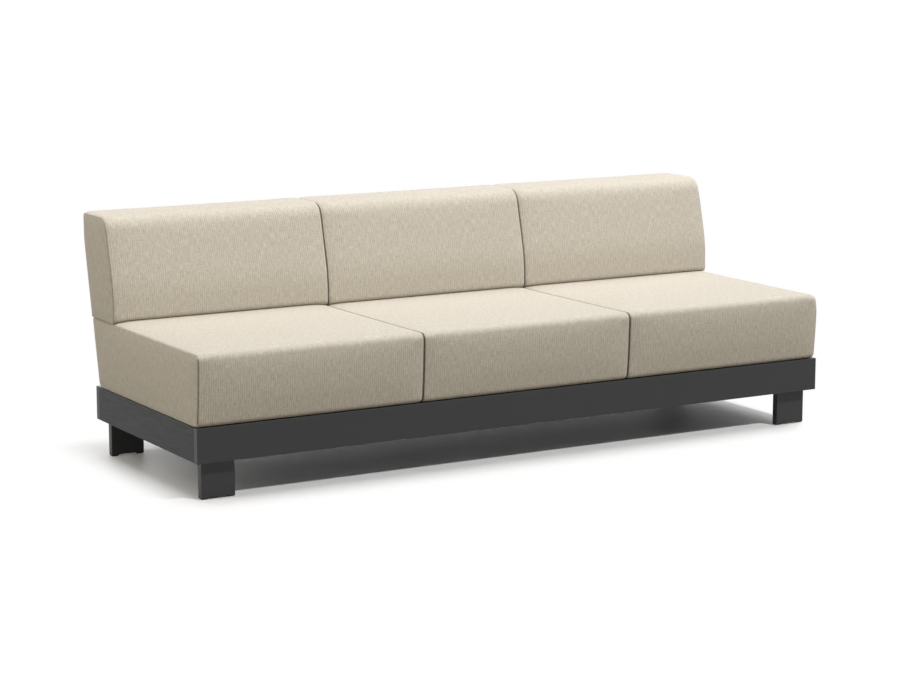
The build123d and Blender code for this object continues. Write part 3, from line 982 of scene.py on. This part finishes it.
@dataclass
class SeatCushion(Cushion):
    """A deep seat cushion whose front edge rolls over."""

    kind: str = "seat"
    last_longer: float = 1.4 * MM
    belly: float = 6.5 * MM
    narrower: float = 2.5 * MM
    overhang: float = 12.5 * MM
    edge_rise: float = 3.0 * MM
    foot_setback: float = -0.5 * MM
    crown: float = 4.6 * MM
    roll: float = 90.0 * MM
    roll_round: float = 500.0 * MM
    corner: float = 19.0 * MM
    seam_corner: float = 21.0 * MM
    rear_corner: float = 8.0 * MM
    foot_corner: float = 18.0 * MM
    back_foot: float = 575.0 * MM
    crept_from: float = 560.0 * MM
    crept: tuple[float, ...] = (0.0, -7.35 * MM, -11.77 * MM, 0.0)

    def corners(self, share: float, inset: float) -> list[Corner]:
        """Corners of the seat's outline, front foot first."""
        s = self.setting
        low = s.deck + s.rest + inset
        edge = s.deck + s.seat_top + self.edge_rise - inset
        level = s.deck + s.seat_top + s.least_crown + (self.crown - s.least_crown) * share - inset
        front = s.face - self.overhang - self.front_crown * share + inset
        foot = s.face + self.foot_setback - self.front_crown * share + inset
        foot_corner = tighter(self.foot_corner, inset)
        return [
            Corner(foot, low, foot_corner),
            Corner(front, edge, self.rounding(share, inset)),
            Corner(front + self.roll, level, self.roll_round, main=False),
            Corner(s.rear(level, inset), level, tighter(self.rear_corner, inset)),
            Corner(s.rear(low, inset), low, foot_corner),
        ]

    def settle(self, piece: Object) -> None:
        """The joints run a little to the left towards the rear, and end under the back cushions' joints."""
        s = self.setting
        points = points_of(piece.data)
        joints = s.row_inset - s.half_width + self.pitch * np.arange(s.seats + 1)
        part = np.clip((points[:, 1] - s.face) / self.crept_from, 0.0, 1.0)
        points[:, 0] += np.interp(points[:, 0], joints, self.crept) * part
        move_points(piece.data, points)

    def resting(self, points: Array) -> Array:
        """Free to swell on the front, on the ends and on the top ahead of the back cushion."""
        s = self.setting
        above_deck = smooth(points[:, 2], *(s.deck + far for far in FREE_OF_DECK))
        under_back = smooth(points[:, 1], *(s.face + self.back_foot + far for far in AHEAD_OF_FOOT))
        near_top = smooth(points[:, 2], *(s.deck + s.seat_top + far for far in UNDER_FOOT))
        return above_deck * (1 - under_back * near_top) * smooth(s.ahead(points), *SEAT_OFF_SLATS)


@dataclass
class BackCushion(Cushion):
    """A back cushion that stands on the seat and leans on the slats."""

    kind: str = "back"
    end_share: float = 0.6
    last_longer: float = 4.5 * MM
    offset: float = -2.9 * MM
    narrower: float = 6.95 * MM
    # Painted shade along the back cushions' seams, at the front, the top and the rear.
    seam_pull: Triple = (0.45, 0.3, 0.3)
    joint_pull: Triple = (0.7, 0.9, 0.5)
    left_edge: Pair = (16.0 * MM, 5.4 * MM)
    right_edge: Pair = (8.0 * MM, 3.0 * MM)
    outer_top: Pair = (15.0 * MM, 5.0 * MM)
    height: float = 312.5 * MM
    base_depth: float = 178.0 * MM
    waist: float = 97.0 * MM
    waist_step: float = 3.6 * MM
    front_reach: float = 54.5 * MM
    shoulder_drop: float = 84.0 * MM
    shoulder_step: float = 1.4 * MM
    crown: float = 0.5 * MM
    corner: float = 46.0 * MM
    seam_corner: float = 44.0 * MM
    rear_corner: float = 16.0 * MM
    foot_corner: float = 14.0 * MM
    heel_corner: float = 6.0 * MM
    waist_round: float = 400.0 * MM
    shoulder_round: float = 150.0 * MM
    seat_crown: float = 4.6 * MM

    def corners(self, share: float, inset: float) -> list[Corner]:
        """Corners of the back's outline, front foot first."""
        s = self.setting
        seat = s.deck + s.seat_top
        low = seat + s.rest + s.least_crown + (self.seat_crown - s.least_crown) * share + inset
        top = seat + self.height + self.crown * share - inset
        shoulder = seat + self.height - self.shoulder_drop
        foot = s.rear(seat, 0.0) - self.base_depth - self.front_crown * share + inset
        return [
            Corner(foot, low, tighter(self.foot_corner, inset)),
            Corner(foot + self.waist_step, seat + self.waist, self.waist_round, main=False),
            Corner(foot + self.front_reach, top, self.rounding(share, inset)),
            Corner(s.rear(shoulder, inset) + self.shoulder_step, top, tighter(self.rear_corner, inset)),
            Corner(s.rear(shoulder, inset), shoulder, self.shoulder_round, main=False),
            Corner(s.rear(low, inset), low, tighter(self.heel_corner, inset)),
        ]

    def resting(self, points: Array) -> Array:
        """Free to swell on the front, the ends and the top, and held at the foot and along the slats."""
        s = self.setting
        seat = s.deck + s.seat_top
        above_seat = smooth(points[:, 2], *(seat + far for far in FREE_OF_SEAT))
        off_slats = smooth(s.ahead(points), *BACK_OFF_SLATS)
        over = smooth(points[:, 2], seat + self.height - self.shoulder_drop, seat + self.height)
        return above_seat * np.maximum(off_slats, over * OVER_SLATS)


# Frame


@dataclass
class BoardFrame:
    """The boards, bars, angles and fasteners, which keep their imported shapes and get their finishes."""

    slots: dict[str, str]

    def finish_of(self, node: str) -> Finish | None:
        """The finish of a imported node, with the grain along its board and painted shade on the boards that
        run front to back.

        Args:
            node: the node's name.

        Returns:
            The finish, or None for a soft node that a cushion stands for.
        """
        slot = self.slots[node]
        if slot in ("woven_cover", "foam"):
            return None
        if slot != "charcoal_board":
            return Finish[slot.upper()]
        low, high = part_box(node)
        size = high - low
        longest = max(range(3), key=lambda axis: size[axis])
        return (Finish.BOARD_ALONG, Finish.BOARD_DEEP, Finish.BOARD_UP)[longest]

    def dress(self) -> None:
        """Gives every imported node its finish."""
        for node, piece in frame["nodes"].items():
            finish = self.finish_of(node)
            if finish is None:
                continue
            material = finish.material()
            if piece.material_slots:
                for place in piece.material_slots:
                    place.material = material
            else:
                piece.data.materials.append(material)
            log.info("%s: %s", node, material.name)


# Studio

WARM = (1.0, 0.955, 0.87)


def seen_by(n: Nodes, *kinds: str) -> object:
    """The socket that says whether a ray is of one of some kinds."""
    path = n.add("ShaderNodeLightPath")
    seen = 0.0
    for kind in kinds:
        seen = n.maths("ADD", seen, path.outputs[f"Is {kind} Ray"], clamp=True)
    return seen


@dataclass(frozen=True)
class SoftLight:
    """A rectangular studio light that looks at the sofa's middle, at the height of its aim."""

    name: str
    place: Triple
    power: float
    size: Pair = (2.5, 1.8)
    colour: Colour = (1.0, 1.0, 1.0)
    aim: float = 0.3

    def hang(self) -> None:
        """Makes the light."""
        data = bpy.data.lights.new(self.name, "AREA")
        data.shape = "RECTANGLE"
        data.size, data.size_y = self.size
        data.energy = self.power
        data.color = self.colour
        lamp = bpy.data.objects.new(self.name, data)
        lamp.location = self.place
        aim = Vector((0.0, 0.0, self.aim)) - Vector(self.place)
        lamp.rotation_euler = aim.to_track_quat("-Z", "Y").to_euler()
        bpy.context.scene.collection.objects.link(lamp)


LIGHTS = (
    SoftLight("key", (4.8, -9.6, 11.9), 1535.0, (0.75, 0.75), (1.0, 0.998, 0.985), aim=0.2),
    SoftLight("overhead", (0.0, 0.3, 3.4), 74.5, (4.5, 3.2)),
    SoftLight("rear_low", (0.0, 6.0, 1.4), 45.0, (4.0, 1.8), aim=0.2),
    SoftLight("left_fill", (-5.0, -0.5, 2.2), 49.0, colour=WARM),
    SoftLight("left_high", (-3.6, 0.0, 3.2), 36.0, colour=WARM),
    SoftLight("right_fill", (5.0, -0.5, 2.2), 32.0),
    SoftLight("right_high", (3.6, 0.5, 3.2), 76.0),
)


@dataclass
class Studio:
    """Pale floor, soft lights and the camera."""

    face: float
    floor_radius: float = 14.0
    footprint: Triple = (1.01, 0.395, 0.0)
    footprint_middle: Triple = (-0.01, 0.0, 0.0)
    shadow_reach: Pair = (0.0, 0.16)
    floor_colour: Colour = (0.97, 0.97, 0.965)
    floor_bounce: Colour = (0.265, 0.25, 0.20)
    lights: tuple[SoftLight, ...] = LIGHTS
    camera_place: Triple = (-3.843, -6.129, 1.635)
    camera_tilt: float = 9.93
    camera_turn: float = -30.25
    lens: float = 100.0

    def lay_floor(self) -> None:
        """A round pale floor that keeps the sofa's shadow and goes to white further out."""
        bpy.ops.mesh.primitive_circle_add(vertices=96, radius=self.floor_radius, fill_type="NGON")
        floor = bpy.context.object
        floor.name = "studio_floor"
        material, n, shader = new_material("studio_floor")
        where = n.add("ShaderNodeTexCoord").outputs["Object"]
        folded = n.vectors("ABSOLUTE", n.vectors("SUBTRACT", where, self.footprint_middle))
        outside = n.vectors("MAXIMUM", n.vectors("SUBTRACT", folded, self.footprint))
        reach = n.add("ShaderNodeVectorMath", {0: outside}, operation="LENGTH").outputs["Value"]
        seen = seen_by(n, "Camera", "Glossy")
        colour = n.mix(seen, self.floor_bounce, self.floor_colour)
        n.put(shader, {"Base Color": colour, "Roughness": 0.5, "Specular IOR Level": 0.3})
        white = n.add("ShaderNodeEmission").outputs[0]
        factor = n.maths("MULTIPLY", n.ramp(reach, *self.shadow_reach), seen)
        mixed = n.add("ShaderNodeMixShader", {0: factor, 1: shader.outputs[0], 2: white})
        out = next(node for node in material.node_tree.nodes if node.type == "OUTPUT_MATERIAL")
        n.put(out, {"Surface": mixed.outputs[0]})
        floor.data.materials.append(material)

    def light(self) -> None:
        """A world that is seen as white and gives no light, and the lamps."""
        world = bpy.data.worlds.new("studio")
        bpy.context.scene.world = world
        world.use_nodes = True
        n = Nodes(world.node_tree)
        n.tree.nodes.clear()
        inputs = {"Color": (1.0, 1.0, 1.0, 1.0), "Strength": seen_by(n, "Camera", "Glossy", "Transmission")}
        background = n.add("ShaderNodeBackground", inputs)
        n.add("ShaderNodeOutputWorld", {"Surface": background.outputs[0]})
        for lamp in self.lights:
            lamp.hang()

    def set_camera(self) -> None:
        """The camera at the photograph's place."""
        data = bpy.data.cameras.new("camera")
        data.lens = self.lens
        camera = bpy.data.objects.new("camera", data)
        x, y, z = self.camera_place
        camera.location = (x, self.face + y, z)
        tilt, turn = math.radians(90 - self.camera_tilt), math.radians(self.camera_turn)
        camera.rotation_euler = (tilt, 0.0, turn)
        bpy.context.scene.collection.objects.link(camera)
        bpy.context.scene.camera = camera

    def build(self) -> None:
        """Sets the studio up."""
        bpy.context.scene.view_settings.view_transform = "Standard"
        self.lay_floor()
        self.light()
        self.set_camera()


# The whole sofa


def write_sizes() -> None:
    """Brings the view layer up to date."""
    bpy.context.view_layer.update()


def main() -> None:
    """Builds the sofa and its studio."""
    logging.basicConfig(level=logging.INFO, format="%(name)s: %(message)s")
    low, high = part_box("front_apron")
    setting = Setting(face=low.y, deck=high.z, half_width=high.x)
    slots = {row["node"]: row["material_slot"] for row in frame["record"]["subparts"]}
    BoardFrame(slots).dress()
    for place, (side, crown) in enumerate((("left", 7.6 * MM), ("middle", 4.6 * MM), ("right", 4.6 * MM))):
        SeatCushion(side, place, setting, crown=crown).make()
        BackCushion(side, place, setting, seat_crown=crown).make()
    Studio(face=low.y).build()
    write_sizes()


if __name__ == "__main__":
    main()
